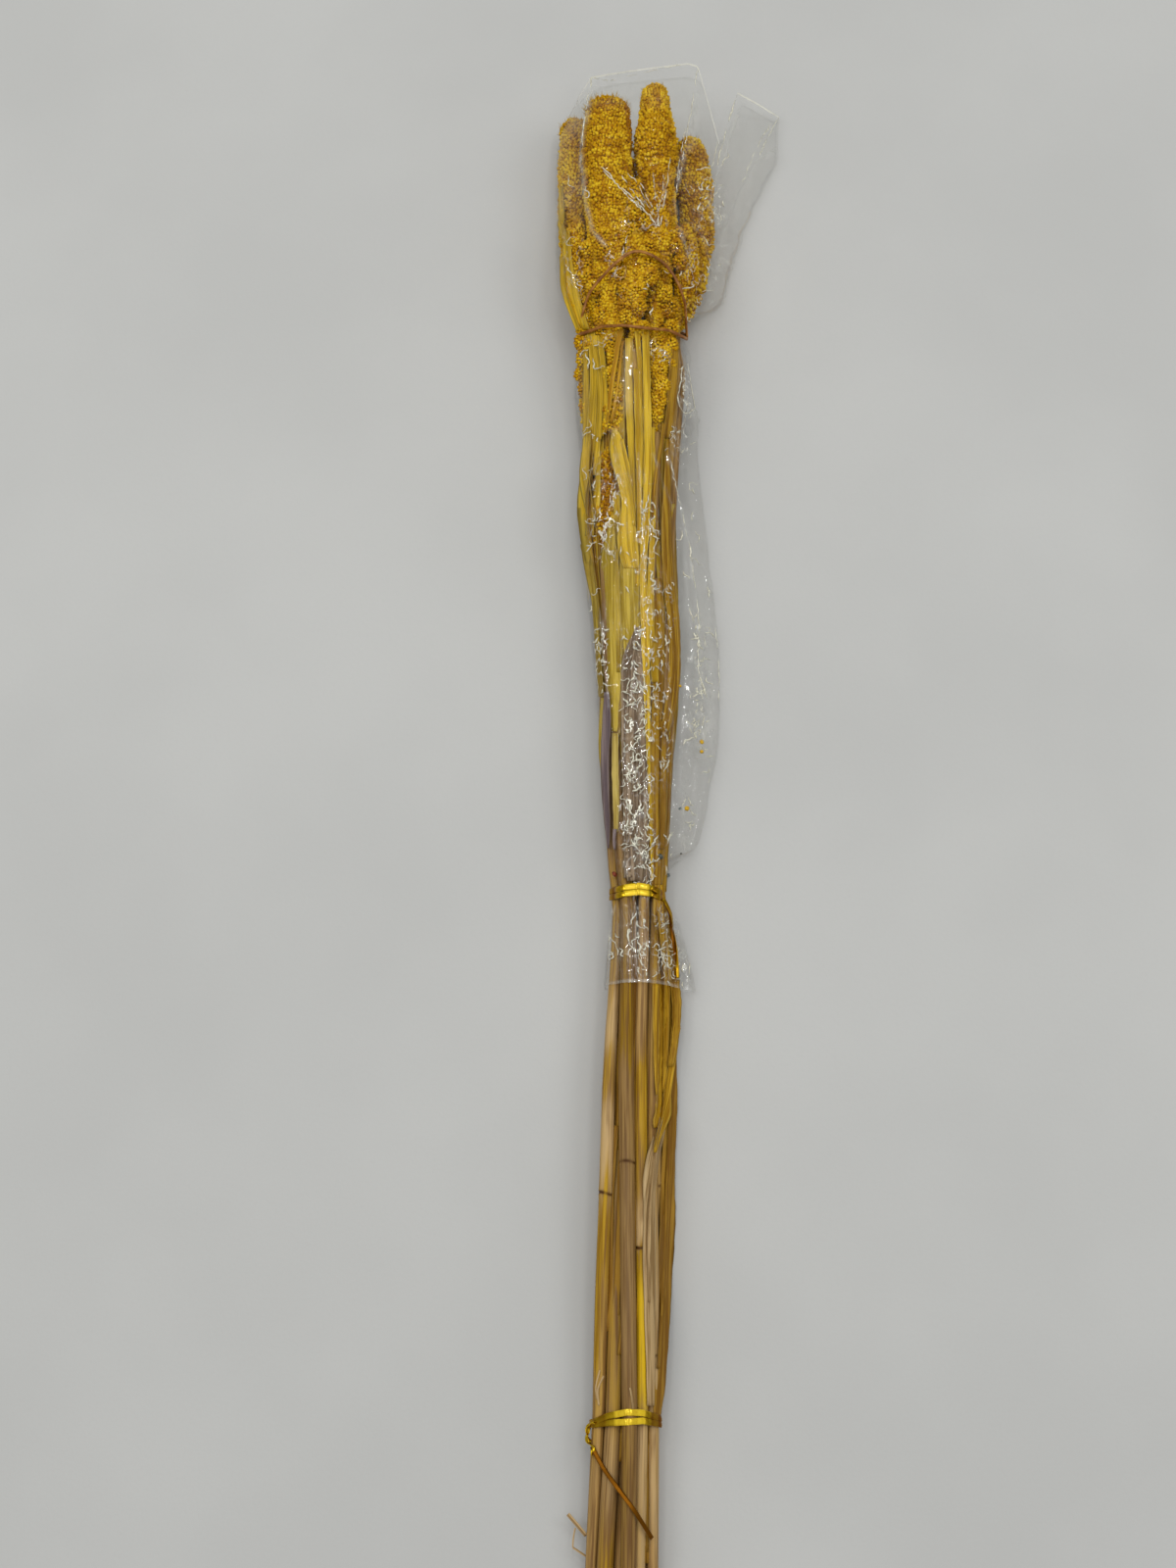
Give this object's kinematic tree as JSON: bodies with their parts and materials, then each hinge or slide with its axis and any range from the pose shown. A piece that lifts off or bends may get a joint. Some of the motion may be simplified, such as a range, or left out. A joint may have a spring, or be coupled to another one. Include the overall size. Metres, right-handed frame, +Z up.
{
  "type": "bunch of preserved millet",
  "caption": "Bunch of dried yellow-dyed millet stems with seed heads and leaves, in a clear film sleeve held by a rubber band and gold ties, lying on its side.",
  "frame": {"origin": "middle of the bottom of the bounding box, on the surface the bunch lies on", "axes": "+Y along the bunch from the cut stems towards the seed heads, +Z up, +X to the right seen from above with the heads away"},
  "size_m": [0.1042, 0.7004, 0.0444],
  "materials": {
    "straw": "dry straw stalk, satin, dyed yellow in streaks",
    "grain": "dry dyed seed grains, matt",
    "leaf_yellow": "dry ribbed leaf, yellow",
    "leaf_bright": "dry ribbed leaf, bright yellow",
    "leaf_deep": "dry ribbed leaf, deep yellow",
    "leaf_olive": "dry ribbed leaf, olive yellow",
    "leaf_ochre": "dry leaf sheath, ochre",
    "leaf_blond": "dry leaf, blond",
    "leaf_brown": "dry leaf, golden brown",
    "leaf_mauve": "dry leaf strip, mauve grey",
    "film": "clear crinkled film",
    "band": "natural brown rubber",
    "gold": "gold metallised tie strip"
  },
  "bodies": {
    "root": {"stem_1": "straw", "stem_2": "straw", "stem_3": "straw", "stem_4": "straw", "stem_5": "straw", "stem_6": "straw", "stem_7": "straw", "stem_8": "straw", "stem_9": "straw", "stem_10": "straw", "seed_head_1": "grain", "seed_head_2": "grain", "seed_head_3": "grain", "seed_head_4": "grain", "seed_head_5": "grain", "seed_head_6": "grain", "seed_head_7": "grain", "seed_head_8": "grain", "seed_head_9": "grain", "seed_head_10": "grain", "leaf_left_blade": "leaf_yellow", "leaf_upper_left": "leaf_yellow", "leaf_upper_slip": "leaf_yellow", "leaf_upper_mid": "leaf_deep", "leaf_wide_tip": "leaf_yellow", "leaf_left_ribbon": "leaf_yellow", "leaf_olive_left": "leaf_olive", "leaf_olive_mid": "leaf_olive", "leaf_bright": "leaf_bright", "leaf_ochre_right": "leaf_ochre", "leaf_sheath_right": "leaf_ochre", "leaf_edge_left": "leaf_ochre", "leaf_pale_strand": "leaf_yellow", "leaf_mauve_strip": "leaf_mauve", "leaf_blond_diagonal": "leaf_blond", "leaf_brown_right": "leaf_brown", "leaf_twisted_sheath": "leaf_ochre", "film_sleeve": "film", "rubber_band": "band", "gold_tie_upper": "gold", "gold_tie_lower": "gold"}
  },
  "joints": []
}
